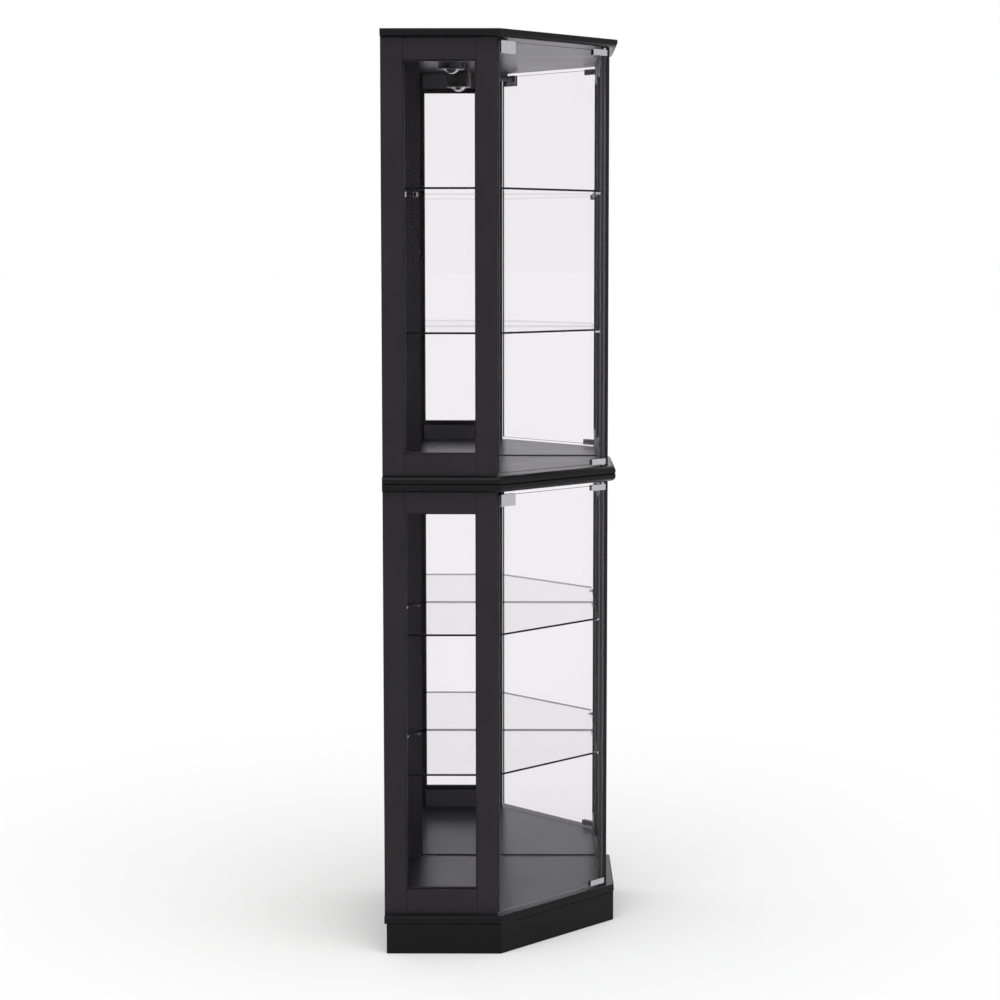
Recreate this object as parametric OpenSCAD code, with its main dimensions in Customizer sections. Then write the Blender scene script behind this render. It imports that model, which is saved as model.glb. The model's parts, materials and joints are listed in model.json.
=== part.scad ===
// Corner curio cabinet: two stacked glazed units on a plinth, each with a frameless glass door.
// +Z is up, the doors face -Y, and the two mirrored walls meet at the rear corner on +Y.

/* [Cabinet] */
// Length of each mirrored wall, from the rear corner to the outside of the side panel
wall_len = 450; // [420:1:500]
// Width of each glazed side panel
side_w = 226; // [210:1:250]
// Height of each glazed unit, between its boards
unit_h = 848; // [760:1:900]
// Height of the plinth under the floor board
plinth_h = 60; // [50:1:90]
// Thickness of every wooden board, stile and rail
board_t = 16; // [15:1:18]
// How far the boards stand out past the side panels and the front
overhang = 16; // [14:1:20]

/* [Side panels] */
// Width of the stile beside the wall
wall_stile_w = 43; // [38:1:50]
// Width of the stile beside the door
front_stile_w = 41; // [38:1:50]
// Height of the rails next to the crown and the waist
rail_h = 42; // [36:1:50]
// Height of the bottom rail of the lower unit
base_rail_h = 50; // [42:1:60]
// Thickness of the glass in the side panels
pane_t = 4; // [3:0.5:5]

/* [Mirrored walls] */
// Thickness of the hardboard back
back_t = 3; // [2.5:0.5:4]
// Thickness of the mirror glass
mirror_t = 3; // [3:0.5:4]
// Distance along each wall that the diagonal rear post covers
post_reach = 55; // [45:1:65]

/* [Shelves] */
// Thickness of the glass shelves
shelf_t = 4; // [4:0.5:6]
// Height of the lower shelf's underside above its unit's floor
first_shelf = 276.5; // [220:0.5:300]
// Height from one shelf to the next
shelf_pitch = 282; // [230:1:300]

/* [Doors] */
// Thickness of the door glass
door_t = 5; // [4:0.5:6]
// Gap between the door glass and the board below it
gap_below = 5; // [4.5:0.5:7]
// Gap between the door glass and the board above it
gap_above = 7; // [6:0.5:9]
// Length of the hinge clips along the door
hinge_w = 40; // [30:1:50]
// Height of the hinge clips
hinge_h = 12; // [10:1:16]
// Length of the strike plate along the door
strike_w = 39; // [34:1:44]
// Height of the strike plate
strike_h = 24; // [22:1:28]

/* [Lamp] */
// Radius of the lamp's can
lamp_r = 27; // [22:1:32]
// Height of the lamp's can below the crown
lamp_h = 42; // [36:1:50]

/* [Hidden] */
$fn = 64;

paint = "#232125";
steel = "#d9dadd";
clear_glass = [0.80, 0.88, 0.86, 0.35];
silvering = "#e6e8ea";
hardboard = "#3a2f28";
black_plastic = "#151515";
raw_wood = "#9c8464";
lamp_lens = "#f4f1e6";

left = -1;
right = 1;
eps = 1;

// Levels, from the floor up
floor_z = plinth_h;
lower_z = floor_z + board_t;
waist_z = lower_z + unit_h;
upper_z = waist_z + 2 * board_t;
crown_z = upper_z + unit_h;

// The wall frame has its origin at the rear corner, x along the left wall and y along the right one
front_reach = (wall_len + side_w) / sqrt(2);
rear_y = (front_reach + overhang) / 2;
front_y = rear_y - front_reach;
front_half = (wall_len - side_w) / sqrt(2);
inner_wall = wall_len - board_t;

// Board edges: a small round and a large one
small_round = 3.5;
large_round = 11;

// Side panels
pane_lip = 6;
rebate_w = 8;
rebate_depth = board_t - pane_lip;
bead_u = rebate_depth - pane_t;
bead_w = 11;
bead_proud = 1.5;
bead_chamfer = 2.5;
rail_v = wall_stile_w;
rail_len = side_w - wall_stile_w - front_stile_w;
joint_chamfer = 0.8;
pane_slack = 1;

// Mirrored walls
back_v = 1;
mirror_v = back_v + back_t;
mirror_face = mirror_v + mirror_t;
post_sum = post_reach + mirror_face;
post_face_y = rear_y - post_sum / sqrt(2);

// Shelves
shelf_side_gap = 4;
shelf_wall_gap = 1.5;
shelf_post_gap = 3;
shelf_front_gap = 15;
shelf_levels = [first_shelf, first_shelf + shelf_pitch];

// Shelf pins
pin_r = 2.5;
pin_hole_r = 2.52;
pin_deep = 8;
pin_hole_deep = 9;
pin_drop = 2.6;
pin_body_r = 3.2;
pin_collar_r = 4.2;
pin_collar_t = 1.5;
pin_out = 10;
wall_pin_v = 22;
front_pin_v = side_w - 21;
rear_pin_x = 17;

// Doors
door_out = 2;
door_y = front_y - door_out;
door_mid_y = door_y + door_t / 2;
door_h = unit_h - gap_below - gap_above;
free_edge_x = -(front_half - 3.8);
hinge_x = front_half - 14.9;
hinge_edge_x = hinge_x + 3;
clip_t = 1.6;
clip_end_x = hinge_x + 4.5;
strike_x = free_edge_x + 3.6;
set_screw_r = 2.6;
set_screw_out = 0.8;

// Hinge pins turn in plastic bushes let into the boards
pivot_r = 3;
bush_bore_r = 3.05;
bush_r = 4.2;
bush_deep = 10;
bush_flange_r = 5.5;
bush_flange_t = 1.5;
pivot_deep = 8;

// Push catches under the board above each door
catch_x = strike_x + strike_w / 2;
catch_drop = 12;
catch_r = 7;
catch_len = 62;
plunger_r = 4;
plunger_bore_r = 4.05;
plunger_len = 34;
plunger_cap_r = 4.6;
plunger_cap_t = 3;
plunger_gap = 0.3;
plunger_travel = 4;
catch_cap_gap = 5;
plunger_y = door_y + door_t + clip_t + plunger_gap;
catch_y = plunger_y + plunger_cap_t + catch_cap_gap;
catch_base_w = 28;
catch_base_t = 2;
catch_web_w = 8;
catch_screw_r = 2.8;
catch_screw_h = 1.2;

// Lamp, on the left of the middle
lamp_pos = [-85, -23];
lamp_wall = 2;
lamp_ring_t = 3;
lamp_ring_in = 18;
bulb_r = 17;
bulb_out = 12;

// Cord hole through the crown, in front of the rear post
grommet_y = post_face_y - 38;
grommet_bore_r = 6;
grommet_r = 8.5;
grommet_flange_r = 13;
grommet_flange_t = 1.5;

// Bolts that join the two units
bolt_r = 3;
bolt_hole_r = 3.05;
bolt_head_r = 6;
bolt_head_h = 3;
bolt_len = 28;
bolt_places = [[-95, -150], [95, -150], [-95, 40], [95, 40]];

// Plinth
plinth_out = overhang - 1;
plinth_wall_gap = 4.5;
plinth_in = plinth_out - board_t;
plinth_back = plinth_wall_gap + board_t;
block_leg = 30;
block_h = plinth_h - 8;

// Corner between the left side and the front, at a distance outside the body, in the wall frame
function front_corner(out) = [wall_len + out, side_w + out * (sqrt(2) - 1)];
function swap(p) = [p[1], p[0]];

module wall_frame() translate([0, rear_y, 0]) rotate([0, 0, 225]) children();

module on_side(side) {
  if (side == left) children();
  else mirror([1, 0, 0]) children();
}

// Cuts the outer corner at [reach, height] of a board's section down to a round of radius r
module corner_cut(reach, height, r, up) {
  translate([reach, height]) mirror([0, up ? 0 : 1]) translate([-r, -r]) difference() {
    square(r + eps);
    circle(r);
  }
}

module edge_section(reach, top_r, bottom_r) {
  difference() {
    translate([-wall_len, 0]) square([wall_len + reach, board_t]);
    corner_cut(reach, board_t, top_r, true);
    corner_cut(reach, 0, bottom_r, false);
  }
}

// Everything inside one rounded straight edge, in the wall frame
module edge_block(turn, reach, top_r, bottom_r) {
  rotate([0, 0, turn]) rotate([90, 0, 0])
    linear_extrude(4 * wall_len, center = true) edge_section(reach, top_r, bottom_r);
}

module board(z, top_r, bottom_r) {
  corner = front_corner(overhang);
  reach = wall_len + overhang;
  translate([0, 0, z]) wall_frame() intersection() {
    linear_extrude(board_t) polygon([[0, 0], [reach, 0], corner, swap(corner), [0, reach]]);
    edge_block(0, reach, top_r, bottom_r);
    edge_block(90, reach, top_r, bottom_r);
    edge_block(45, front_reach + overhang, top_r, bottom_r);
  }
}

module pivot_hole(z, up) {
  translate([hinge_x, door_mid_y, up ? z - eps : z - bush_deep])
    cylinder(r = bush_r, h = bush_deep + eps);
}

module crown_board() {
  color(paint) difference() {
    board(crown_z, small_round, large_round);
    pivot_hole(crown_z, true);
    translate([0, grommet_y, crown_z - eps]) cylinder(r = grommet_r, h = board_t + 2 * eps);
  }
}

module bolt_holes(z, deep) {
  for (p = bolt_places) translate([p[0], p[1], z]) cylinder(r = bolt_hole_r, h = deep);
}

module waist_upper_board() {
  color(paint) difference() {
    board(waist_z + board_t, large_round, small_round);
    pivot_hole(upper_z, false);
    bolt_holes(waist_z + board_t - eps, bolt_len - board_t + 2 * eps);
  }
}

module waist_lower_board() {
  color(paint) difference() {
    board(waist_z, small_round, large_round);
    pivot_hole(waist_z, true);
    bolt_holes(waist_z - eps, board_t + 2 * eps);
  }
}

module floor_board() {
  color(paint) difference() {
    board(floor_z, small_round, small_round);
    pivot_hole(lower_z, false);
  }
}

module plinth_rail(points) color(paint) wall_frame() linear_extrude(plinth_h) polygon(points);

module plinth_front_rail() {
  outer = front_corner(plinth_out);
  inner = front_corner(plinth_in);
  plinth_rail([outer, swap(outer), swap(inner), inner]);
}

module plinth_side_rail(side) {
  on_side(side) plinth_rail([
    [wall_len + plinth_out, plinth_wall_gap],
    front_corner(plinth_out),
    front_corner(plinth_in),
    [wall_len + plinth_in, plinth_back]
  ]);
}

module plinth_back_rail(side) {
  on_side(side) plinth_rail([
    [plinth_wall_gap, plinth_wall_gap],
    [wall_len + plinth_out, plinth_wall_gap],
    [wall_len + plinth_in, plinth_back],
    [plinth_back, plinth_back]
  ]);
}

// Three-sided glue block in a corner, with its legs along two directions given in degrees
module glue_block(corner, turn_a, turn_b) {
  linear_extrude(block_h) polygon([
    corner,
    corner + block_leg * [cos(turn_a), sin(turn_a)],
    corner + block_leg * [cos(turn_b), sin(turn_b)]
  ]);
}

module plinth_blocks() {
  inner = front_corner(plinth_in);
  color(raw_wood) translate([0, 0, plinth_h - block_h]) {
    wall_frame() glue_block([plinth_back, plinth_back], 0, 90);
    for (side = [left, right]) on_side(side) wall_frame() {
      glue_block([wall_len + plinth_in, plinth_back], 90, 180);
      glue_block(inner, 270, 135);
    }
  }
}

// Room for the pane and its beads, cut from the inside of a side panel's frame
module pane_rebate(low_rail) {
  translate([-eps, wall_stile_w - rebate_w, low_rail - rebate_w])
    cube([rebate_depth + eps, rail_len + 2 * rebate_w, unit_h - low_rail - rail_h + 2 * rebate_w]);
}

module side_pin_holes(v) {
  for (h = shelf_levels) translate([0, v, h - pin_drop])
    rotate([0, 90, 0]) cylinder(r = pin_hole_r, h = 2 * pin_hole_deep, center = true);
}

// Places children in the side panel's own frame: x out through the panel, y from wall to front
module panel_frame(side, z) {
  on_side(side) wall_frame() translate([inner_wall, 0, z]) children();
}

module wall_stile(side, z, low_rail) {
  color(paint) panel_frame(side, z) difference() {
    cube([board_t, wall_stile_w, unit_h]);
    pane_rebate(low_rail);
    side_pin_holes(wall_pin_v);
  }
}

module front_stile(side, z, low_rail) {
  color(paint) panel_frame(side, z) difference() {
    translate([0, side_w - front_stile_w, 0]) cube([board_t, front_stile_w, unit_h]);
    pane_rebate(low_rail);
    side_pin_holes(front_pin_v);
  }
}

// A rail has a small chamfer at each end of its face, which leaves a fine line at the joint
module rail(height) {
  near = rail_v;
  far = rail_v + rail_len;
  linear_extrude(height) polygon([
    [0, near], [board_t - joint_chamfer, near], [board_t, near + joint_chamfer],
    [board_t, far - joint_chamfer], [board_t - joint_chamfer, far], [0, far]
  ]);
}

module rails(side, z, low_rail) {
  color(paint) panel_frame(side, z) difference() {
    union() {
      rail(low_rail);
      translate([0, 0, unit_h - rail_h]) rail(rail_h);
    }
    pane_rebate(low_rail);
  }
}

module side_glass(side, z, low_rail) {
  grow = rebate_w - pane_slack;
  color(clear_glass) panel_frame(side, z)
    translate([bead_u, rail_v - grow, low_rail - grow])
      cube([pane_t, rail_len + 2 * grow, unit_h - low_rail - rail_h + 2 * grow]);
}

// Bead of a length along z: x is through the panel and y points into the opening
module bead(length) {
  linear_extrude(length) polygon([
    [-bead_proud, 0], [bead_u, 0], [bead_u, bead_w],
    [bead_chamfer - bead_proud, bead_w], [-bead_proud, bead_w - bead_chamfer]
  ]);
}

module panel_beads(low_rail) {
  near = rail_v - rebate_w;
  far = rail_v + rail_len + rebate_w;
  low = low_rail - rebate_w;
  high = unit_h - rail_h + rebate_w;
  translate([0, near, low]) bead(high - low);
  translate([0, far, low]) mirror([0, 1, 0]) bead(high - low);
  translate([0, near + bead_w, high]) rotate([-90, 0, 0]) bead(far - near - 2 * bead_w);
  translate([0, near + bead_w, low]) mirror([0, 0, 1]) rotate([-90, 0, 0]) bead(far - near - 2 * bead_w);
}

module glazing_beads(z, low_rail) {
  color(paint) for (side = [left, right]) panel_frame(side, z) panel_beads(low_rail);
}

// The post is one diagonal board across the rear corner
module rear_post(z) {
  back = post_sum - board_t * sqrt(2);
  color(paint) difference() {
    translate([0, 0, z]) wall_frame() linear_extrude(unit_h) polygon([
      [back, 0], [post_reach, 0], [post_reach, mirror_face],
      [mirror_face, post_reach], [0, post_reach], [0, back]
    ]);
    for (h = shelf_levels, side = [left, right])
      translate([side * rear_pin_x, post_face_y, z + h - pin_drop])
        rotate([90, 0, 0]) cylinder(r = pin_hole_r, h = 2 * pin_hole_deep, center = true);
  }
}

module wall_sheet(side, z, v, thick) {
  on_side(side) wall_frame() translate([post_reach, v, z])
    cube([inner_wall - post_reach, thick, unit_h]);
}

module back_panel(side, z) color(hardboard) wall_sheet(side, z, back_v, back_t);

module mirror_panel(side, z) color(silvering) wall_sheet(side, z, mirror_v, mirror_t);

module shelf(z, level) {
  edge = mirror_face + shelf_wall_gap;
  reach = inner_wall - shelf_side_gap;
  front = (rear_y - front_y - shelf_front_gap) * sqrt(2) - reach;
  rear = post_sum + shelf_post_gap - edge;
  color(clear_glass) translate([0, 0, z + shelf_levels[level]]) wall_frame()
    linear_extrude(shelf_t) polygon([
      [rear, edge], [reach, edge], [reach, front], [front, reach], [edge, reach], [edge, rear]
    ]);
}

// Pin whose shank lies along -x in the wood and whose flat top, at z = 0, carries the shelf
module shelf_pin() {
  translate([0, 0, -pin_drop]) rotate([0, 90, 0]) {
    translate([0, 0, -pin_deep]) cylinder(r = pin_r, h = pin_deep);
    cylinder(r = pin_collar_r, h = pin_collar_t);
  }
  intersection() {
    translate([0, 0, -pin_drop]) rotate([0, 90, 0]) cylinder(r = pin_body_r, h = pin_out);
    translate([0, -pin_out, -2 * pin_out]) cube(2 * pin_out);
  }
}

module shelf_pins() {
  color(steel) for (z = [lower_z, upper_z], h = shelf_levels, side = [left, right]) {
    for (v = [wall_pin_v, front_pin_v])
      panel_frame(side, z + h) translate([0, v, 0]) rotate([0, 0, 180]) shelf_pin();
    translate([side * rear_pin_x, post_face_y, z + h]) rotate([0, 0, -90]) shelf_pin();
  }
}

// Flanged bush for a hinge pin, standing in the board below z = 0
module pivot_bush() {
  difference() {
    union() {
      translate([0, 0, -bush_deep]) cylinder(r = bush_r, h = bush_deep);
      cylinder(r = bush_flange_r, h = bush_flange_t);
    }
    translate([0, 0, -bush_deep + eps]) cylinder(r = bush_bore_r, h = bush_deep + bush_flange_t);
  }
}

module pivot_bushes() {
  color(black_plastic) for (z = [lower_z, upper_z]) {
    translate([hinge_x, door_mid_y, z]) pivot_bush();
    translate([hinge_x, door_mid_y, z + unit_h]) mirror([0, 0, 1]) pivot_bush();
  }
}

module joining_bolts() {
  color(steel) for (p = bolt_places) translate([p[0], p[1], waist_z]) {
    cylinder(r = bolt_r, h = bolt_len);
    translate([0, 0, -bolt_head_h]) cylinder(r = bolt_head_r, h = bolt_head_h);
  }
}

module lamp_housing() {
  color(black_plastic) translate([lamp_pos[0], lamp_pos[1], crown_z - lamp_h]) difference() {
    cylinder(r = lamp_r, h = lamp_h);
    translate([0, 0, -eps]) cylinder(r = lamp_r - lamp_wall, h = lamp_h - lamp_wall + eps);
  }
}

module lamp_ring() {
  color(black_plastic) translate([lamp_pos[0], lamp_pos[1], crown_z - lamp_h - lamp_ring_t]) difference() {
    cylinder(r = lamp_r, h = lamp_ring_t);
    translate([0, 0, -eps]) cylinder(r = lamp_ring_in, h = lamp_ring_t + 2 * eps);
  }
}

// Reflector bulb: a domed lens that stands out below the ring, a cone and a neck
module lamp_bulb() {
  neck_r = 8;
  neck_h = 14;
  cone_h = lamp_h - lamp_wall - neck_h;
  dome_r = (bulb_r * bulb_r + bulb_out * bulb_out) / (2 * bulb_out);
  color(lamp_lens) translate([lamp_pos[0], lamp_pos[1], crown_z - lamp_h]) {
    translate([0, 0, cone_h]) cylinder(r = neck_r, h = neck_h);
    cylinder(r1 = bulb_r, r2 = neck_r, h = cone_h);
    intersection() {
      translate([0, 0, dome_r - bulb_out]) sphere(dome_r);
      translate([0, 0, -bulb_out - eps]) cylinder(r = bulb_r, h = bulb_out + eps);
    }
  }
}

module cord_grommet() {
  color(black_plastic) translate([0, grommet_y, crown_z]) difference() {
    union() {
      cylinder(r = grommet_r, h = board_t);
      translate([0, 0, -grommet_flange_t]) cylinder(r = grommet_flange_r, h = grommet_flange_t);
    }
    translate([0, 0, -grommet_flange_t - eps]) cylinder(r = grommet_bore_r, h = 2 * board_t);
  }
}

// Catch body hung under a board at z, with the plunger's bore along y
module catch_body(z) {
  color(black_plastic) translate([catch_x, catch_y, z]) {
    difference() {
      union() {
        translate([0, 0, -catch_drop]) rotate([-90, 0, 0]) cylinder(r = catch_r, h = catch_len);
        translate([-catch_web_w / 2, 0, -catch_drop]) cube([catch_web_w, catch_len, catch_drop]);
        translate([-catch_base_w / 2, 0, -catch_base_t]) cube([catch_base_w, catch_len, catch_base_t]);
      }
      translate([0, -eps, -catch_drop]) rotate([-90, 0, 0])
        cylinder(r = plunger_bore_r, h = plunger_len + plunger_travel + 2 * eps);
    }
    for (x = [-1, 1], y = [10, catch_len - 10])
      translate([x * 10, y, -catch_base_t - catch_screw_h]) cylinder(r = catch_screw_r, h = catch_screw_h);
  }
}

module catch_plunger(z) {
  color(steel) translate([catch_x, plunger_y, z - catch_drop]) rotate([-90, 0, 0]) {
    cylinder(r = plunger_cap_r, h = plunger_cap_t);
    translate([0, 0, plunger_cap_t]) cylinder(r = plunger_r, h = plunger_len);
  }
}

module door_glass(z) {
  color(clear_glass) translate([free_edge_x, door_y, z + gap_below])
    cube([hinge_edge_x - free_edge_x, door_t, door_h]);
}

// Clip over the top edge of the door glass, which is at z = 0
module edge_clip(x0, x1, glass_end, height) {
  difference() {
    translate([x0, door_y - clip_t, clip_t - height]) cube([x1 - x0, door_t + 2 * clip_t, height]);
    translate([x0 - eps, door_y, -height]) cube([glass_end - x0 + eps, door_t, height]);
  }
}

// Hinge clip with its pin, and two set screws on the inside
module hinge_clip(pin_len) {
  x0 = clip_end_x - hinge_w;
  edge_clip(x0, clip_end_x, hinge_edge_x, hinge_h);
  translate([hinge_x, door_mid_y, clip_t]) cylinder(r = pivot_r, h = pin_len);
  for (x = [x0 + hinge_w / 4, x0 + hinge_w / 2])
    translate([x, door_y + door_t + clip_t, (clip_t - hinge_h) / 2]) rotate([-90, 0, 0])
      cylinder(r = set_screw_r, h = set_screw_out);
}

module door_hinges(z) {
  color(steel) {
    translate([0, 0, z + unit_h - gap_above]) hinge_clip(gap_above - clip_t + pivot_deep);
    translate([0, 0, z + gap_below]) mirror([0, 0, 1]) hinge_clip(gap_below - clip_t + pivot_deep);
  }
}

module strike_plate(z) {
  color(steel) translate([0, 0, z + unit_h - gap_above])
    edge_clip(strike_x, strike_x + strike_w, strike_x + strike_w + eps, strike_h);
}

crown_board();
waist_upper_board();
waist_lower_board();
floor_board();
plinth_front_rail();
plinth_side_rail(left);  // plinth_left_rail
plinth_side_rail(right);  // plinth_right_rail
plinth_back_rail(left);  // plinth_left_back_rail
plinth_back_rail(right);  // plinth_right_back_rail
plinth_blocks();
wall_stile(left, upper_z, rail_h);  // upper_left_wall_stile
front_stile(left, upper_z, rail_h);  // upper_left_front_stile
rails(left, upper_z, rail_h);  // upper_left_rails
side_glass(left, upper_z, rail_h);  // upper_left_glass
wall_stile(right, upper_z, rail_h);  // upper_right_wall_stile
front_stile(right, upper_z, rail_h);  // upper_right_front_stile
rails(right, upper_z, rail_h);  // upper_right_rails
side_glass(right, upper_z, rail_h);  // upper_right_glass
glazing_beads(upper_z, rail_h);  // upper_glazing_beads
rear_post(upper_z);  // upper_rear_post
back_panel(left, upper_z);  // upper_left_back
mirror_panel(left, upper_z);  // upper_left_mirror
back_panel(right, upper_z);  // upper_right_back
mirror_panel(right, upper_z);  // upper_right_mirror
shelf(upper_z, 0);  // upper_shelf_1
shelf(upper_z, 1);  // upper_shelf_2
wall_stile(left, lower_z, base_rail_h);  // lower_left_wall_stile
front_stile(left, lower_z, base_rail_h);  // lower_left_front_stile
rails(left, lower_z, base_rail_h);  // lower_left_rails
side_glass(left, lower_z, base_rail_h);  // lower_left_glass
wall_stile(right, lower_z, base_rail_h);  // lower_right_wall_stile
front_stile(right, lower_z, base_rail_h);  // lower_right_front_stile
rails(right, lower_z, base_rail_h);  // lower_right_rails
side_glass(right, lower_z, base_rail_h);  // lower_right_glass
glazing_beads(lower_z, base_rail_h);  // lower_glazing_beads
rear_post(lower_z);  // lower_rear_post
back_panel(left, lower_z);  // lower_left_back
mirror_panel(left, lower_z);  // lower_left_mirror
back_panel(right, lower_z);  // lower_right_back
mirror_panel(right, lower_z);  // lower_right_mirror
shelf(lower_z, 0);  // lower_shelf_1
shelf(lower_z, 1);  // lower_shelf_2
shelf_pins();
pivot_bushes();
joining_bolts();
lamp_housing();
lamp_ring();
lamp_bulb();
cord_grommet();
catch_body(crown_z);  // upper_catch_body
catch_plunger(crown_z);  // upper_catch_plunger
catch_body(waist_z);  // lower_catch_body
catch_plunger(waist_z);  // lower_catch_plunger
door_glass(upper_z);  // upper_door_glass
door_hinges(upper_z);  // upper_door_hinges
strike_plate(upper_z);  // upper_strike_plate
door_glass(lower_z);  // lower_door_glass
door_hinges(lower_z);  // lower_door_hinges
strike_plate(lower_z);  // lower_strike_plate
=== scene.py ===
"""Looks of a five-sided corner curio cabinet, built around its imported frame.

Two glazed units stand on a plinth. The wood is painted satin black, the walls inside are mirrored,
and each unit has two glass shelves and a frameless glass door with bright metal clips.
"""

import json
import math
from contextlib import contextmanager

import bpy
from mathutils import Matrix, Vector

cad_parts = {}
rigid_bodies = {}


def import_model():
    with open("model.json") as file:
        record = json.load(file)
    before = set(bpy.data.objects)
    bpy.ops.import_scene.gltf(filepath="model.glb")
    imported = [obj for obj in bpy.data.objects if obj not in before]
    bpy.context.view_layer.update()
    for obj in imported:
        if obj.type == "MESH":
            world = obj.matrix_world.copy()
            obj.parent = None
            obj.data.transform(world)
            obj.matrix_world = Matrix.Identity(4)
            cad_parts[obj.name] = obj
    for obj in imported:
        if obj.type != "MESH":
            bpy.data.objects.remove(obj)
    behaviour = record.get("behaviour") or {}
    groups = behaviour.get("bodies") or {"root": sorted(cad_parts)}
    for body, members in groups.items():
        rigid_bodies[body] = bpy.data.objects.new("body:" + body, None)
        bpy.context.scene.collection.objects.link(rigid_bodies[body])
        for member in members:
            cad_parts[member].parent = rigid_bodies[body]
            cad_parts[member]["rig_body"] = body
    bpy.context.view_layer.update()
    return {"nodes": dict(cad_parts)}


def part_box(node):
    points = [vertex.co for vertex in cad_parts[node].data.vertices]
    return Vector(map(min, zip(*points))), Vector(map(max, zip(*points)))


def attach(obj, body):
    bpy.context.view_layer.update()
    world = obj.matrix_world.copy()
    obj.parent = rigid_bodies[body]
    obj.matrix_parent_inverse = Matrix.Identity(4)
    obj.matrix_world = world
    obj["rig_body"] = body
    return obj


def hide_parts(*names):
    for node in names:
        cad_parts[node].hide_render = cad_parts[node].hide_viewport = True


bl_info = {
    "name": "Corner curio cabinet",
    "version": (1, 0, 0),
    "blender": (4, 5, 0),
    "location": "3D View > Sidebar > Cabinet",
    "description": "Builds the finishes and the fine pieces of a glazed corner curio cabinet",
    "category": "Object",
}

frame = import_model()
UNITS = ("upper", "lower")
SIDES = ("left", "right")
SHELF_LEVELS = (1, 2)

# Places of the axes in a vector.
Y = 1
Z = 2

# Scales of the paint's grain along X, Y and Z. It runs the way of the smallest one.
LEVEL_GRAIN = (9, 300, 300)
UPRIGHT_GRAIN = (300, 300, 9)

# Metres: gap closed when a copy's triangles are merged, and the bare foot of each mirror.
MERGE_GAP = 0.00001
BARE_EDGE = 0.0022

# Metres: the clips and catches.
SET_SCREW_RADIUS = 0.0026
CATCH_SCREW_RADIUS = 0.0028
SOCKET_DEPTH = 0.0006
FITTING_EDGE = 0.0003

# Metres: the lamp. The vents' top and foot are measured down from the can's top.
CAN_EDGE = 0.0006
VENT_TOP = 0.007
VENT_FOOT = 0.016
VENT_LIP = 0.0008
VENT_DEPTH = 0.0010
RING_EDGE = 0.0012
DOME_RADIUS = 0.01804
BULB_RIM = 0.0014
LENS_DEPTH = 0.0012

# Degrees round the can from one vent to the next, and how many of them are open.
VENT_PITCH = 30
VENT_WIDTH = 15

# Degrees between two faces: merged below the first, rounded above the next two, smooth below the last.
FLAT_WITHIN = 0.5
ROUND_BEYOND = 30
WOOD_BEYOND = 50
SMOOTH_WITHIN = 35

# Shares of a face's normal along an axis: square on to it, level, or turned halfway inwards.
SQUARE_ON = 0.99
LEVEL = 0.98
HALF_IN = 0.6


# ---------------------------------------------------------------- sizes and colours


class CabinetSizes(bpy.types.PropertyGroup):
    """Sizes of the fine shapes that the frame leaves plain."""

    arris: bpy.props.FloatProperty(
        name="Arris", description="Rounding of the painted wood's edges", unit="LENGTH", default=0.0009
    )
    glass_edge: bpy.props.FloatProperty(
        name="Glass edge", description="Chamfer ground on the edges of loose glass", unit="LENGTH",
        default=0.0004
    )
    metal_edge: bpy.props.FloatProperty(
        name="Metal edge", description="Rounding of the polished metal's edges", unit="LENGTH",
        default=0.0004
    )
    lamp_face: bpy.props.FloatProperty(
        name="Lamp face", description="Radius of the bulb's round face", unit="LENGTH", default=0.0106
    )
    lamp_turn: bpy.props.FloatProperty(
        name="Lamp turn", description="How far the bulb is swivelled up from straight down", subtype="ANGLE",
        default=math.radians(62)
    )


class CabinetColours(bpy.types.PropertyGroup):
    """Colours and gloss of the finishes."""

    paint: bpy.props.FloatVectorProperty(
        name="Paint", description="Satin black paint", subtype="COLOR", default=(0.0080, 0.0072, 0.0085)
    )
    # Painted light: a much lighter copy of the black paint on the inner faces of the rails, standing in for
    # the light that reaches them.
    paint_inside: bpy.props.FloatVectorProperty(
        name="Paint, inside", description="Thin paint on the inner face of the rails", subtype="COLOR",
        default=(0.100, 0.096, 0.102)
    )
    paint_roughness: bpy.props.FloatProperty(
        name="Paint roughness", description="Roughness of the satin paint", subtype="FACTOR", default=0.38
    )
    chrome: bpy.props.FloatVectorProperty(
        name="Chrome", description="Polished plating", subtype="COLOR", default=(0.50, 0.495, 0.51)
    )
    silvering: bpy.props.FloatVectorProperty(
        name="Silvering", description="Mirrored walls", subtype="COLOR", default=(0.905, 0.889, 0.912)
    )
    clear_glass: bpy.props.FloatVectorProperty(
        name="Clear glass", description="Light left after one face of the glass", subtype="COLOR",
        default=(0.988, 0.987, 0.989)
    )
    glass_edge: bpy.props.FloatVectorProperty(
        name="Glass edge", description="Edge of the shelves, dark with depth", subtype="COLOR",
        default=(0.0018, 0.0022, 0.0022)
    )
    door_edge: bpy.props.FloatVectorProperty(
        name="Door edge", description="Ground edge of the doors", subtype="COLOR",
        default=(0.050, 0.051, 0.052)
    )
    shelf_glass: bpy.props.FloatVectorProperty(
        name="Shelf glass", description="Light left after one face of a shelf", subtype="COLOR",
        default=(0.946, 0.946, 0.948)
    )


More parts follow.
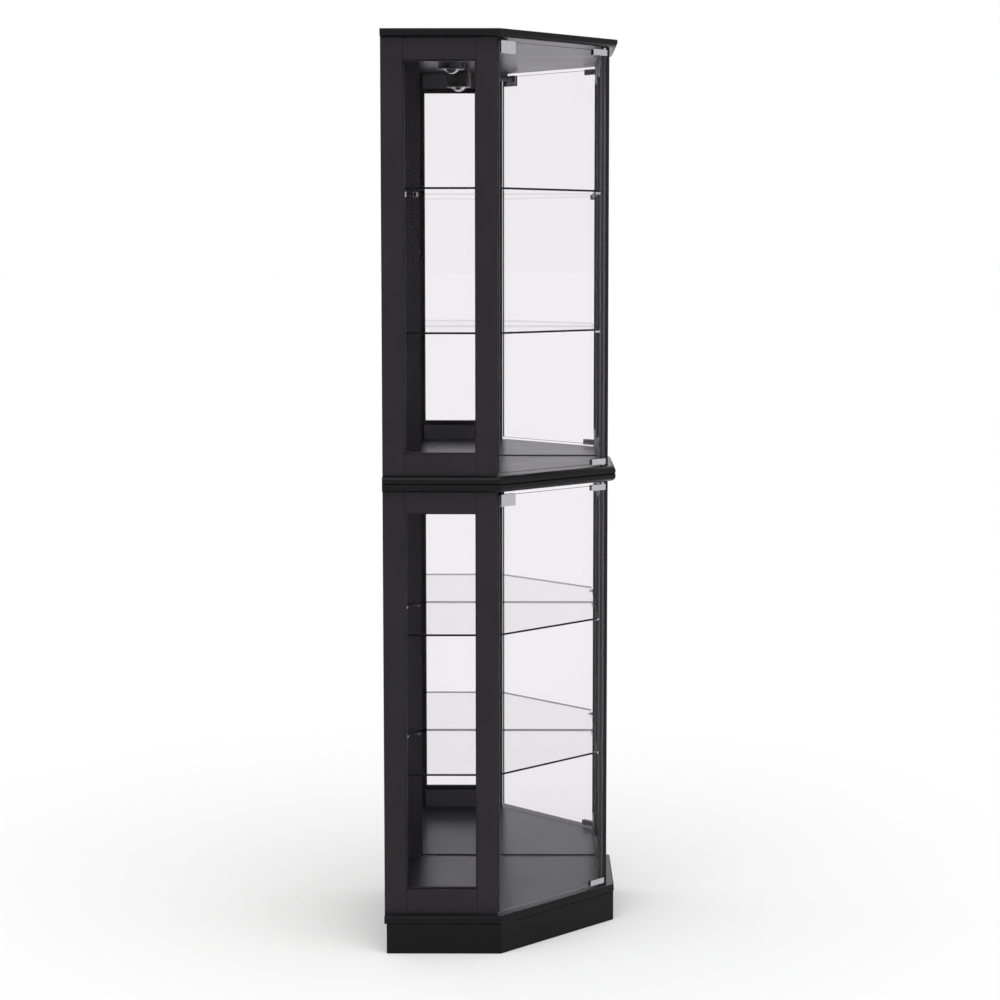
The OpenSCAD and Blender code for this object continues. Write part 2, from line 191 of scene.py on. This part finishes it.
class StageSettings(bpy.types.PropertyGroup):
    """Camera and light of the plain stage."""

    eye: bpy.props.FloatVectorProperty(
        name="Eye", description="Where the camera stands", subtype="TRANSLATION",
        default=(-3.1915, -3.3436, 1.387)
    )
    turn: bpy.props.FloatProperty(
        name="Turn", description="Direction of view, clockwise from +Y", subtype="ANGLE",
        default=math.radians(44.631)
    )
    tilt: bpy.props.FloatProperty(
        name="Tilt", description="How far the camera looks down", subtype="ANGLE",
        default=math.radians(5.511)
    )
    lens: bpy.props.FloatProperty(
        name="Lens", description="Focal length in millimetres", default=80.24
    )
    shift: bpy.props.FloatVectorProperty(
        name="Shift", description="Shift of the lens, across and up", size=2, default=(-0.012, -0.03)
    )
    sky: bpy.props.FloatProperty(
        name="Sky", description="Brightness of the white surround", default=1.0
    )
    ceiling: bpy.props.FloatProperty(
        name="Ceiling", description="Share of the sky's brightness overhead", subtype="FACTOR", default=0.35
    )
    key: bpy.props.FloatProperty(
        name="Key", description="Strength of the soft light overhead", default=2.1
    )


# ---------------------------------------------------------------- materials


class Wire:
    """One value running between the nodes of a finish, with arithmetic."""

    def __init__(self, finish, socket):
        self.finish = finish
        self.socket = socket

    def joined(self, operation, first, second):
        """The result of one sum on two values."""
        return self.finish.node("Math", {"operation": operation}, {0: first, 1: second})

    def __add__(self, other):
        return self.joined("ADD", self, other)

    def __sub__(self, other):
        return self.joined("SUBTRACT", self, other)

    def __rsub__(self, other):
        return self.joined("SUBTRACT", other, self)

    def __mul__(self, other):
        return self.joined("MULTIPLY", self, other)

    __radd__ = __add__
    __rmul__ = __mul__


class Finish:
    """A material that is being built from nodes."""

    def __init__(self, name):
        self.material = bpy.data.materials.new(name)
        self.material.use_nodes = True
        self.tree = self.material.node_tree
        self.tree.nodes.clear()

    def node(self, kind, settings=None, inputs=None, output=0):
        """Adds one node: its settings first, then the values or links of its sockets."""
        made = self.tree.nodes.new("ShaderNode" + kind)
        for name, value in (settings or {}).items():
            if name == "stops":
                self.set_stops(made.color_ramp, value)
            else:
                setattr(made, name, value)
        for name, value in (inputs or {}).items():
            if isinstance(value, Wire):
                self.tree.links.new(value.socket, made.inputs[name])
            else:
                made.inputs[name].default_value = value
        return Wire(self, made.outputs[output])

    @staticmethod
    def set_stops(ramp, stops):
        """Gives a ramp its stops, each a place and a grey tone."""
        while len(ramp.elements) < len(stops):
            ramp.elements.new(0.5)
        for element, (place, tone) in zip(ramp.elements, stops):
            element.position = place
            element.color = (tone, tone, tone, 1)

    def places(self, scale=(1, 1, 1)):
        """Object coordinates, scaled."""
        plain = self.node("TexCoord", output="Object")
        return self.node("Mapping", inputs={"Vector": plain, "Scale": scale})

    def noise(self, vector, scale, detail=3.0, roughness=0.5):
        """Cloudy noise over some places."""
        inputs = {"Vector": vector, "Scale": scale, "Detail": detail, "Roughness": roughness}
        return self.node("TexNoise", inputs=inputs)

    def ramp(self, value, *stops):
        """A value drawn out between stops."""
        return self.node("ValToRGB", {"stops": stops}, {"Fac": value})

    def mix(self, mask, first, second):
        """Blends two colours, each of them fixed or a wire."""
        ends = [end if isinstance(end, Wire) else rgba(end) for end in (first, second)]
        return self.node("Mix", {"data_type": "RGBA"}, {0: mask, 6: ends[0], 7: ends[1]}, output=2)

    def bump(self, height, strength, distance):
        """Relief from a height."""
        return self.node("Bump", inputs={"Height": height, "Strength": strength, "Distance": distance})

    def principled(self, **inputs):
        """The common surface shader. A socket's spaces are written as underscores."""
        return self.node("BsdfPrincipled", inputs={k.replace("_", " "): v for k, v in inputs.items()})

    def done(self, shader):
        """Ends the finish with its shader and gives back the material."""
        out = self.tree.nodes.new("ShaderNodeOutputMaterial")
        self.tree.links.new(shader.socket, out.inputs["Surface"])
        return self.material


def rgba(colour):
    """A colour with its alpha."""
    return (*colour, 1)


def dimmed(colour, share):
    """A colour made darker or lighter by one share."""
    return [share * part for part in colour]


def satin_paint(name, grain_scale, roughness, relief, shine=0.25, tone=None, ior=1.5):
    """Satin black paint over smooth board, with a faint grain along the piece."""
    # A tone given here may be a lighter copy of the paint, which is painted light, or a darker copy, which
    # is painted shade.
    thick_coat = tone or bpy.context.scene.cabinet_colours.paint
    thin_coat = dimmed(thick_coat, 1.45)
    f = Finish(name)
    along = f.places(scale=grain_scale)
    grain = f.noise(along, 1.0, detail=5.0, roughness=0.6)
    cloud = f.noise(f.places(), 9.0, detail=3.0)
    peel = f.noise(f.places(), 420.0, detail=1.0)
    thin = f.ramp(cloud * 0.6 + grain * 0.4, (0.35, 0), (0.75, 1))
    colour = f.mix(thin, thick_coat, thin_coat)
    rough = cloud * 0.10 + grain * 0.06 + (roughness - 0.08)
    height = f.bump(grain * 0.5 + peel * 0.5, relief, 0.0003)
    shader = f.principled(
        Base_Color=colour, Roughness=rough, Normal=height, Specular_IOR_Level=shine, IOR=ior
    )
    return f.done(shader)


def hardboard():
    """Brown pressed fibre board."""
    f = Finish("hardboard")
    fibres = f.noise(f.places(scale=(260, 260, 90)), 1.0, detail=6.0, roughness=0.7)
    cloud = f.noise(f.places(), 6.0, detail=4.0)
    worn = f.ramp(fibres * 0.7 + cloud * 0.3, (0.3, 0), (0.7, 1))
    colour = f.mix(worn, (0.030, 0.019, 0.012), (0.085, 0.055, 0.036))
    relief = f.bump(fibres, 0.35, 0.0004)
    rough = fibres * 0.2 + 0.55
    return f.done(f.principled(Base_Color=colour, Roughness=rough, Normal=relief))


def raw_wood():
    """Unpainted softwood with growth rings."""
    f = Finish("raw_wood")
    rings = f.noise(f.places(scale=(120, 120, 8)), 1.0, detail=4.0, roughness=0.55)
    pores = f.noise(f.places(scale=(900, 900, 60)), 1.0, detail=2.0)
    spring_growth = f.ramp(rings * 0.8 + pores * 0.2, (0.35, 0), (0.65, 1))
    colour = f.mix(spring_growth, (0.24, 0.15, 0.08), (0.42, 0.29, 0.17))
    relief = f.bump(rings * 0.5 + pores * 0.5, 0.3, 0.0004)
    return f.done(f.principled(Base_Color=colour, Roughness=pores * 0.2 + 0.55, Normal=relief))


def metal(name, dark, bright, roughness, scratch_scale):
    """Metal with fine marks left by polishing or rolling."""
    f = Finish(name)
    marks = f.noise(f.places(scale=scratch_scale), 1.0, detail=3.0, roughness=0.6)
    haze = f.noise(f.places(), 60.0, detail=2.0)
    colour = f.mix(f.ramp(haze * 0.5 + marks * 0.5, (0.3, 0), (0.7, 1)), dark, bright)
    rough = marks * 0.06 + haze * 0.06 + roughness
    scratches = f.bump(marks, 0.06, 0.0001)
    return f.done(f.principled(Base_Color=colour, Roughness=rough, Metallic=1.0, Normal=scratches))


def mirror_glass():
    """Silvered glass, with the faintest haze and a bare, dark band along its foot."""
    tones = bpy.context.scene.cabinet_colours
    f = Finish("mirror_glass")
    haze = f.noise(f.places(), 5.0, detail=3.0)
    height = f.node("SeparateXYZ", inputs={"Vector": f.places()}, output=2)

    def bare_band(unit):
        half = 0.5 * BARE_EDGE
        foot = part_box(f"{unit}_left_mirror")[0][2]
        return f.node("Math", {"operation": "COMPARE"}, {0: height, 1: foot + half, 2: half})

    bare = bare_band("upper") + bare_band("lower")
    hazy = f.ramp(haze, (0.3, 0), (0.7, 1)) * (1 - bare)
    silvered = f.mix(hazy, dimmed(tones.silvering, 0.985), tones.silvering)
    colour = f.mix(bare, silvered, (0.02, 0.02, 0.02))
    rough = f.ramp(haze, (0.4, 0.0), (0.9, 0.02))
    return f.done(f.principled(Base_Color=colour, Metallic=1.0, Roughness=rough))


def clear_glass(name, ior, tint):
    """Polished clear glass: it passes light straight through and mirrors more of it at a slant."""
    f = Finish(name)
    haze = f.noise(f.places(), 4.0, detail=3.0)
    colour = f.mix(haze, (0.93, 0.95, 0.95), (1.0, 1.0, 1.0))
    rough = f.ramp(haze, (0.4, 0.0), (0.9, 0.015))
    gleam = f.principled(Base_Color=colour, Metallic=1.0, Roughness=rough)
    open_way = f.node("BsdfTransparent", inputs={"Color": rgba(tint)})
    slant = f.node("Fresnel", inputs={"IOR": ior})
    inside = f.node("NewGeometry", output="Backfacing")
    share = slant * (1 - inside)
    return f.done(f.node("MixShader", inputs={0: share, 1: open_way, 2: gleam}))


def ground_edge(name, tone, shine):
    """Ground and polished edge of float glass."""
    f = Finish(name)
    streaks = f.noise(f.places(scale=(40, 40, 900)), 1.0, detail=2.0)
    colour = f.mix(f.ramp(streaks, (0.35, 0), (0.7, 1)), tone, dimmed(tone, 1.6))
    rough = streaks * 0.12 + 0.08
    return f.done(f.principled(Base_Color=colour, Roughness=rough, Specular_IOR_Level=shine))


def moulded_plastic(name, tone, roughness, scale):
    """Black moulded plastic with a fine spark-eroded texture."""
    f = Finish(name)
    pits = f.noise(f.places(), scale, detail=2.0)
    cloud = f.noise(f.places(), 40.0, detail=2.0)
    colour = f.mix(cloud, tone, dimmed(tone, 1.5))
    rough = pits * 0.15 + roughness
    relief = f.bump(pits, 0.2, 0.0001)
    return f.done(f.principled(Base_Color=colour, Roughness=rough, Normal=relief))


def faceted_reflector():
    """Silvered outside of a reflector bulb, with small facets."""
    f = Finish("lamp_reflector")
    facets = f.node("TexVoronoi", inputs={"Vector": f.places(), "Scale": 480.0}, output="Distance")
    colour = f.mix(f.ramp(facets, (0.1, 0), (0.8, 1)), (0.80, 0.79, 0.81), (0.50, 0.49, 0.51))
    rough = facets * 0.1 + 0.12
    relief = f.bump(facets, 0.25, 0.0004)
    return f.done(f.principled(Base_Color=colour, Metallic=1.0, Roughness=rough, Normal=relief))


def lens_glass():
    """Clear face of a reflector bulb over its dark, unlit inside."""
    f = Finish("lamp_lens")
    rays = f.noise(f.places(), 350.0, detail=2.0)
    colour = f.mix(f.ramp(rays, (0.3, 0), (0.7, 1)), (0.030, 0.028, 0.030), (0.075, 0.072, 0.076))
    rough = rays * 0.06 + 0.04
    relief = f.bump(rays, 0.2, 0.0004)
    return f.done(f.principled(Base_Color=colour, Roughness=rough, Normal=relief))


def paints():
    """The coats of black paint: on stiles, on rails, on flat boards, on edges and inside. Stiles and rails
    take a lighter copy, which is painted light in place of the sheen their lower IOR takes off; edges and
    the plinth take a darker copy, which is painted shade; the rails' inner faces take a much lighter copy,
    which is painted light.
    """
    tones = bpy.context.scene.cabinet_colours
    satin = tones.paint_roughness
    # Painted light: a lighter copy of the paint for stiles and rails, making up for the sheen their lower
    # IOR takes off.
    painted_light_coat = dimmed(tones.paint, 1.8)
    # Painted shade: a darker copy of the paint for the board edges and the plinth.
    painted_shade_coat = dimmed(tones.paint, 0.5)
    return {
        "paint_upright": satin_paint("paint_upright", UPRIGHT_GRAIN, satin, 0.025, 0.5, painted_light_coat, 1.25),
        "paint_rail": satin_paint("paint_rail", LEVEL_GRAIN, satin, 0.025, 0.5, painted_light_coat, 1.25),
        "paint_flat": satin_paint("paint_flat", LEVEL_GRAIN, satin - 0.08, 0.008),
        "paint_edge": satin_paint("paint_edge", LEVEL_GRAIN, satin - 0.14, 0.03, 0.14, painted_shade_coat),
        # Painted light on the rails' inner faces.
        "paint_inside": satin_paint("paint_inside", LEVEL_GRAIN, satin, 0.025, 0.25, tones.paint_inside),
    }


def glasses():
    """Mirror, panes, shelves and the ground edges of loose glass."""
    tones = bpy.context.scene.cabinet_colours
    return {
        "mirror": mirror_glass(),
        "side_glass": clear_glass("side_glass", 1.15, tones.clear_glass),
        "door_glass": clear_glass("door_glass", 1.25, tones.clear_glass),
        "shelf_glass": clear_glass("shelf_glass", 1.45, tones.shelf_glass),
        "shelf_edge": ground_edge("shelf_edge", tones.glass_edge, 0.08),
        "door_edge": ground_edge("door_edge", tones.door_edge, 0.5),
    }


def metals():
    """Plating, bare steel and the bright rim of the bulb."""
    chrome = bpy.context.scene.cabinet_colours.chrome
    return {
        "chrome": metal("chrome", dimmed(chrome, 0.85), chrome, 0.06, (900, 60, 900)),
        "magnet_steel": metal(
            "magnet_steel", (0.36, 0.36, 0.37), (0.55, 0.55, 0.56), 0.26, (80, 900, 900)
        ),
        "bolt_steel": metal("bolt_steel", (0.50, 0.49, 0.44), (0.62, 0.62, 0.60), 0.30, (900, 900, 200)),
        "lamp_rim": metal("lamp_rim", (0.70, 0.70, 0.72), (0.86, 0.86, 0.88), 0.08, (900, 900, 900)),
    }


def build_finishes():
    """Makes every finish once, by name."""
    return {
        **paints(),
        **glasses(),
        **metals(),
        "hardboard": hardboard(),
        "raw_wood": raw_wood(),
        "black_plastic": moulded_plastic("black_plastic", (0.010, 0.010, 0.010), 0.42, 1500.0),
        "lamp_black": moulded_plastic("lamp_black", (0.012, 0.011, 0.012), 0.30, 600.0),
        "lamp_reflector": faceted_reflector(),
        "lamp_lens": lens_glass(),
    }


FINISHES = {}


def finish(name):
    """One of the finishes, which are all made the first time."""
    if not FINISHES:
        FINISHES.update(build_finishes())
    return FINISHES[name]


def paint_object(piece, *names):
    """Gives a piece its finishes, one slot each."""
    while len(piece.data.materials) < len(names):
        piece.data.materials.append(None)
    for index, name in enumerate(names):
        piece.material_slots[index].material = finish(name)


# ---------------------------------------------------------------- modelling


def only(piece):
    """Selects one object and makes it the active one."""
    bpy.ops.object.select_all(action="DESELECT")
    piece.select_set(True)
    bpy.context.view_layer.objects.active = piece


@contextmanager
def editing(piece, test):
    """Edits one mesh, with only the faces that pass a test picked at first."""
    only(piece)
    bpy.ops.object.mode_set(mode="EDIT")
    bpy.ops.mesh.select_mode(type="FACE")
    bpy.ops.mesh.select_all(action="DESELECT")
    bpy.ops.object.mode_set(mode="OBJECT")
    for face in piece.data.polygons:
        face.select = test(face)
    bpy.ops.object.mode_set(mode="EDIT")
    try:
        yield
    finally:
        bpy.ops.object.mode_set(mode="OBJECT")


def every(face):
    """Passes any face."""
    return True


def picked(face):
    """Passes a face that an edit left picked."""
    return face.select


def upright(face):
    """Passes the faces of a level board that don't lie flat."""
    return abs(face.normal.z) < LEVEL


def looks_inside(face):
    """Passes the faces of a side panel that look into the cabinet."""
    return face.normal.y > HALF_IN


def copy_of(node, name):
    """A copy of a frame node with its loose triangles merged into whole faces."""
    piece = bpy.data.objects.new(name, frame["nodes"][node].data.copy())
    bpy.context.scene.collection.objects.link(piece)
    piece.data.name = name
    with editing(piece, every):
        bpy.ops.mesh.remove_doubles(threshold=MERGE_GAP)
        bpy.ops.mesh.dissolve_limited(angle_limit=math.radians(FLAT_WITHIN))
    if piece.data.has_custom_normals:
        bpy.ops.mesh.customdata_custom_splitnormals_clear()
    return piece


def cut_across(piece, place, way):
    """Cuts a line all round a piece where a plane crosses it."""
    with editing(piece, every):
        bpy.ops.mesh.bisect(plane_co=place, plane_no=way)


def bevel(piece, width, segments=2, angle=ROUND_BEYOND):
    """Rounds every edge sharper than an angle and keeps the result."""
    only(piece)
    modifier = piece.modifiers.new("Round", "BEVEL")
    modifier.width = width
    modifier.segments = segments
    modifier.limit_method = "ANGLE"
    modifier.angle_limit = math.radians(angle)
    bpy.ops.object.modifier_apply(modifier=modifier.name)


def smooth(piece):
    """Shades rounds smooth and leaves the large faces beside them flat."""
    only(piece)
    bpy.ops.object.shade_smooth_by_angle(angle=math.radians(SMOOTH_WITHIN))
    modifier = piece.modifiers.new("Flat faces", "WEIGHTED_NORMAL")
    modifier.weight = 100
    modifier.keep_sharp = True
    bpy.ops.object.modifier_apply(modifier=modifier.name)


def set_in_place(piece, body, node):
    """Makes a finished piece ride on its body and stand for its frame node."""
    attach(piece, body)
    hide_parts(node)


def slot_faces(piece, test, slot=1):
    """Puts the faces that pass a test in one of the piece's slots."""
    for face in piece.data.polygons:
        if test(face):
            face.material_index = slot


def sink_screw_heads(piece, axis, facing, radius):
    """Sinks a socket in the middle of each round screw head that looks along an axis."""
    largest = 1.02 * math.pi * radius ** 2

    def is_head(face):
        return face.normal[axis] * facing > SQUARE_ON and 0.8 * largest < face.area < largest

    with editing(piece, is_head):
        bpy.ops.mesh.inset(thickness=0.45 * radius, depth=-SOCKET_DEPTH, use_individual=True)
    slot_faces(piece, picked)


def polish_glass(node, body, face_finish, edge_finish, axis):
    """A loose sheet of glass with chamfered, ground edges. Its faces look along an axis."""
    piece = copy_of(node, node + "_polished")
    bevel(piece, bpy.context.scene.cabinet_sizes.glass_edge, segments=1)
    slot_faces(piece, lambda face: abs(face.normal[axis]) < SQUARE_ON)
    paint_object(piece, face_finish, edge_finish)
    set_in_place(piece, body, node)


def finish_piece(piece, body, slot, node, *names):
    """Smooths a piece, gives it its finishes and sets it in place."""
    smooth(piece)
    paint_object(piece, *names)
    set_in_place(piece, body, node)


def wood(node, *names, test=None):
    """One painted piece of wood with its sharp edges eased. A second finish goes where a test passes."""
    piece = copy_of(node, node + "_painted")
    bevel(piece, bpy.context.scene.cabinet_sizes.arris, angle=WOOD_BEYOND)
    if test:
        slot_faces(piece, test)
    finish_piece(piece, "cabinet", "black_paint", node, *names)


# ---------------------------------------------------------------- steps


class CABINET_OT_boards(bpy.types.Operator):
    """Crown, waist and floor boards with their rounded edges"""

    bl_idname = "cabinet.boards"
    bl_label = "Boards"
    bl_options = {"REGISTER", "UNDO"}

    def execute(self, context):
        for node in ("crown_board", "waist_upper_board", "waist_lower_board", "floor_board"):
            # The boards' upright faces take the darker copy of the paint: painted shade.
            wood(node, "paint_flat", "paint_edge", test=upright)
        return {"FINISHED"}


class CABINET_OT_plinth(bpy.types.Operator):
    """Plinth rails and the glue blocks behind them"""

    bl_idname = "cabinet.plinth"
    bl_label = "Plinth"
    bl_options = {"REGISTER", "UNDO"}

    def execute(self, context):
        for part in ("front", "left", "right", "left_back", "right_back"):
            # The plinth rails take the darker copy of the paint: painted shade.
            wood(f"plinth_{part}_rail", "paint_edge")
        paint_object(frame["nodes"]["plinth_blocks"], "raw_wood")
        return {"FINISHED"}


class CABINET_OT_side_panels(bpy.types.Operator):
    """Stiles, rails, beads and glass of the side panels, and the rear posts"""

    bl_idname = "cabinet.side_panels"
    bl_label = "Side panels"
    bl_options = {"REGISTER", "UNDO"}

    def execute(self, context):
        for unit in UNITS:
            for side in SIDES:
                # Stiles, rails, beads and posts take the lighter copy of the paint: painted light.
                wood(f"{unit}_{side}_wall_stile", "paint_upright")
                wood(f"{unit}_{side}_front_stile", "paint_upright")
                # The rails' inner faces take a much lighter copy of the paint: painted light.
                wood(f"{unit}_{side}_rails", "paint_rail", "paint_inside", test=looks_inside)
                paint_object(frame["nodes"][f"{unit}_{side}_glass"], "side_glass")
            wood(f"{unit}_glazing_beads", "paint_upright")
            wood(f"{unit}_rear_post", "paint_upright")
        return {"FINISHED"}


class CABINET_OT_walls(bpy.types.Operator):
    """Mirrors and the boards behind them"""

    bl_idname = "cabinet.walls"
    bl_label = "Mirrored walls"
    bl_options = {"REGISTER", "UNDO"}

    def execute(self, context):
        for unit in UNITS:
            for side in SIDES:
                paint_object(frame["nodes"][f"{unit}_{side}_back"], "hardboard")
                paint_object(frame["nodes"][f"{unit}_{side}_mirror"], "mirror")
        return {"FINISHED"}


class CABINET_OT_shelves(bpy.types.Operator):
    """Glass shelves with ground edges, and the pins that carry them"""

    bl_idname = "cabinet.shelves"
    bl_label = "Shelves"
    bl_options = {"REGISTER", "UNDO"}

    def execute(self, context):
        for unit in UNITS:
            for level in SHELF_LEVELS:
                polish_glass(f"{unit}_shelf_{level}", "cabinet", "shelf_glass", "shelf_edge", Z)
        pins = copy_of("shelf_pins", "shelf_pins_turned")
        bevel(pins, context.scene.cabinet_sizes.metal_edge)
        finish_piece(pins, "cabinet", "chrome", "shelf_pins", "chrome")
        return {"FINISHED"}


class CABINET_OT_doors(bpy.types.Operator):
    """Frameless glass doors with their hinge clips and strike plates"""

    bl_idname = "cabinet.doors"
    bl_label = "Doors"
    bl_options = {"REGISTER", "UNDO"}

    def execute(self, context):
        metal_edge = context.scene.cabinet_sizes.metal_edge
        for unit in UNITS:
            body = f"{unit}_door"
            polish_glass(f"{unit}_door_glass", body, "door_glass", "door_edge", Y)
            for part in ("door_hinges", "strike_plate"):
                node = f"{unit}_{part}"
                piece = copy_of(node, node + "_plated")
                if part == "door_hinges":
                    sink_screw_heads(piece, Y, 1, SET_SCREW_RADIUS)
                bevel(piece, metal_edge)
                finish_piece(piece, body, "chrome", node, "chrome", "black_plastic")
        return {"FINISHED"}


class CABINET_OT_fittings(bpy.types.Operator):
    """Push catches, hinge bushes, joining bolts and the grommet for the cord"""

    bl_idname = "cabinet.fittings"
    bl_label = "Fittings"
    bl_options = {"REGISTER", "UNDO"}

    def execute(self, context):
        finishes = {
            "upper_catch_body": "black_plastic",
            "lower_catch_body": "black_plastic",
            "upper_catch_plunger": "magnet_steel",
            "lower_catch_plunger": "magnet_steel",
            "pivot_bushes": "black_plastic",
            "joining_bolts": "bolt_steel",
            "cord_grommet": "black_plastic",
        }
        for node, name in finishes.items():
            piece = copy_of(node, node + "_eased")
            if "catch_body" in node:
                sink_screw_heads(piece, Z, -1, CATCH_SCREW_RADIUS)
            bevel(piece, FITTING_EDGE)
            body = frame["nodes"][node]["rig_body"]
            finish_piece(piece, body, name, node, name)
        return {"FINISHED"}


class CABINET_OT_lamp(bpy.types.Operator):
    """Lamp under the crown: a black can and ring round a swivelled reflector bulb"""

    bl_idname = "cabinet.lamp"
    bl_label = "Lamp"
    bl_options = {"REGISTER", "UNDO"}

    def execute(self, context):
        self.make_can()
        ring = copy_of("lamp_ring", "lamp_ring_rolled")
        bevel(ring, RING_EDGE, segments=3)
        finish_piece(ring, "cabinet", "lamp_black", "lamp_ring", "lamp_black")
        self.make_bulb(context.scene.cabinet_sizes)
        return {"FINISHED"}

    def make_can(self):
        """The can, with a ring of vent slots under its top."""
        can = copy_of("lamp_housing", "lamp_can_vented")
        low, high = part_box("lamp_housing")
        middle_x = (low[0] + high[0]) / 2
        middle_y = (low[1] + high[1]) / 2
        outer = 0.98 * (high[0] - low[0]) / 2
        vent_low = high[2] - VENT_FOOT
        vent_high = high[2] - VENT_TOP
        for height in (vent_low, vent_high):
            cut_across(can, (0, 0, height), (0, 0, 1))
        bevel(can, CAN_EDGE)

        def in_vent(face):
            out_x = face.center.x - middle_x
            out_y = face.center.y - middle_y
            turn = math.degrees(math.atan2(out_y, out_x))
            in_band = vent_low < face.center.z < vent_high and math.hypot(out_x, out_y) > outer
            return in_band and turn % VENT_PITCH < VENT_WIDTH

        with editing(can, in_vent):
            bpy.ops.mesh.inset(thickness=VENT_LIP, depth=-VENT_DEPTH)
        slot_faces(can, picked)
        finish_piece(can, "cabinet", "lamp_black", "lamp_housing", "lamp_black", "black_plastic")

    def make_bulb(self, sizes):
        """The bulb: a silvered reflector, its round face turned to the side panel."""
        bulb = copy_of("lamp_bulb", "lamp_bulb_faceted")
        low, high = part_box("lamp_bulb")
        across = math.sin(sizes.lamp_turn) * math.sqrt(0.5)
        facing = Vector((-across, -across, -math.cos(sizes.lamp_turn)))
        centre = Vector(((low[0] + high[0]) / 2, (low[1] + high[1]) / 2, low[2] + DOME_RADIUS))
        lens_ahead = math.sqrt(DOME_RADIUS ** 2 - sizes.lamp_face ** 2)
        rim_ahead = math.sqrt(DOME_RADIUS ** 2 - (sizes.lamp_face + BULB_RIM) ** 2)
        for ahead in (lens_ahead, rim_ahead):
            cut_across(bulb, centre + facing * ahead, facing)

        def beyond(ahead):
            return lambda face: (face.center - centre).dot(facing) > ahead - MERGE_GAP

        slot_faces(bulb, beyond(rim_ahead), 1)
        slot_faces(bulb, beyond(lens_ahead), 2)
        with editing(bulb, beyond(lens_ahead)):
            bpy.ops.mesh.extrude_region_move(TRANSFORM_OT_translate={"value": facing * -LENS_DEPTH})
        finish_piece(bulb, "cabinet", "lamp_lens", "lamp_bulb", "lamp_reflector", "lamp_rim", "lamp_lens")


class CABINET_OT_stage(bpy.types.Operator):
    """Pale floor, white surround, soft light and the camera"""

    bl_idname = "cabinet.stage"
    bl_label = "Stage"
    bl_options = {"REGISTER", "UNDO"}

    def execute(self, context):
        settings = context.scene.stage_settings
        self.lay_floor()
        self.hang_surround(context.scene, settings)
        self.hang_softbox(settings)
        self.place_camera(context.scene, settings)
        return {"FINISHED"}

    def lay_floor(self):
        """A wide floor, pale all over."""
        bpy.ops.object.select_all(action="DESELECT")
        bpy.ops.mesh.primitive_plane_add(size=240, location=(0, 0, 0))
        floor = bpy.context.object
        floor.name = "floor"
        f = Finish("pale_floor")
        cloud = f.noise(f.places(), 0.7, detail=2.0)
        colour = f.mix(cloud, (0.86, 0.86, 0.86), (0.88, 0.88, 0.88))
        shader = f.principled(Base_Color=colour, Roughness=0.9, Specular_IOR_Level=0.1)
        floor.data.materials.append(f.done(shader))

    def hang_surround(self, scene, settings):
        """White walls all round, with a darker ceiling."""
        world = bpy.data.worlds.new("white_surround")
        world.use_nodes = True
        scene.world = world
        tree = world.node_tree
        places = tree.nodes.new("ShaderNodeTexCoord")
        parts = tree.nodes.new("ShaderNodeSeparateXYZ")
        fade = tree.nodes.new("ShaderNodeMapRange")
        background = tree.nodes["Background"]
        fade.inputs["From Min"].default_value = 0.35
        fade.inputs["From Max"].default_value = 0.70
        fade.inputs["To Min"].default_value = settings.sky
        fade.inputs["To Max"].default_value = settings.sky * settings.ceiling
        tree.links.new(places.outputs["Generated"], parts.inputs["Vector"])
        tree.links.new(parts.outputs["Z"], fade.inputs["Value"])
        tree.links.new(fade.outputs["Result"], background.inputs["Strength"])
        background.inputs["Color"].default_value = (1, 1, 1, 1)

    def hang_softbox(self, settings):
        """One broad soft light, a little to the front and the left."""
        tilt = math.radians(12)
        bpy.ops.object.light_add(type="SUN", location=(0, 0, 4), rotation=(tilt, -tilt, 0))
        key = bpy.context.object
        key.name = "overhead_softbox"
        key.data.energy = settings.key
        key.data.angle = math.radians(70)

    def place_camera(self, scene, settings):
        """The camera, and how the scene is shown through it."""
        rotation = (math.pi / 2 - settings.tilt, 0, -settings.turn)
        bpy.ops.object.camera_add(location=settings.eye, rotation=rotation)
        camera = bpy.context.object
        camera.name = "camera"
        camera.data.lens = settings.lens
        camera.data.sensor_width = 36
        camera.data.shift_x, camera.data.shift_y = settings.shift
        camera.data.clip_end = 500
        scene.camera = camera
        scene.view_settings.view_transform = "Standard"
        scene.cycles.transparent_max_bounces = 32
        scene.cycles.glossy_bounces = 8


OPERATORS = (
    CABINET_OT_stage,
    CABINET_OT_boards,
    CABINET_OT_plinth,
    CABINET_OT_side_panels,
    CABINET_OT_walls,
    CABINET_OT_shelves,
    CABINET_OT_doors,
    CABINET_OT_fittings,
    CABINET_OT_lamp,
)


class CABINET_PT_sidebar(bpy.types.Panel):
    """Lists the steps that build the cabinet"""

    bl_idname = "CABINET_PT_sidebar"
    bl_label = "Corner curio cabinet"
    bl_space_type = "VIEW_3D"
    bl_region_type = "UI"
    bl_category = "Cabinet"

    def draw(self, context):
        for settings in ("cabinet_sizes", "cabinet_colours", "stage_settings"):
            group = getattr(context.scene, settings)
            for name in group.__annotations__:
                self.layout.prop(group, name)
        for operator in OPERATORS:
            self.layout.operator(operator.bl_idname)


SETTINGS = {
    "cabinet_sizes": CabinetSizes,
    "cabinet_colours": CabinetColours,
    "stage_settings": StageSettings,
}


def register():
    """Adds the settings, the steps and the sidebar."""
    for group in SETTINGS.values():
        bpy.utils.register_class(group)
    for operator in OPERATORS:
        bpy.utils.register_class(operator)
    bpy.utils.register_class(CABINET_PT_sidebar)
    for name, group in SETTINGS.items():
        setattr(bpy.types.Scene, name, bpy.props.PointerProperty(type=group))


def unregister():
    """Takes them all away again."""
    for name in SETTINGS:
        delattr(bpy.types.Scene, name)
    bpy.utils.unregister_class(CABINET_PT_sidebar)
    for operator in reversed(OPERATORS):
        bpy.utils.unregister_class(operator)
    for group in reversed(SETTINGS.values()):
        bpy.utils.unregister_class(group)


def main():
    """Builds the cabinet step by step."""
    register()
    for operator in OPERATORS:
        group, step = operator.bl_idname.split(".")
        getattr(getattr(bpy.ops, group), step)()


if __name__ == "__main__":
    main()
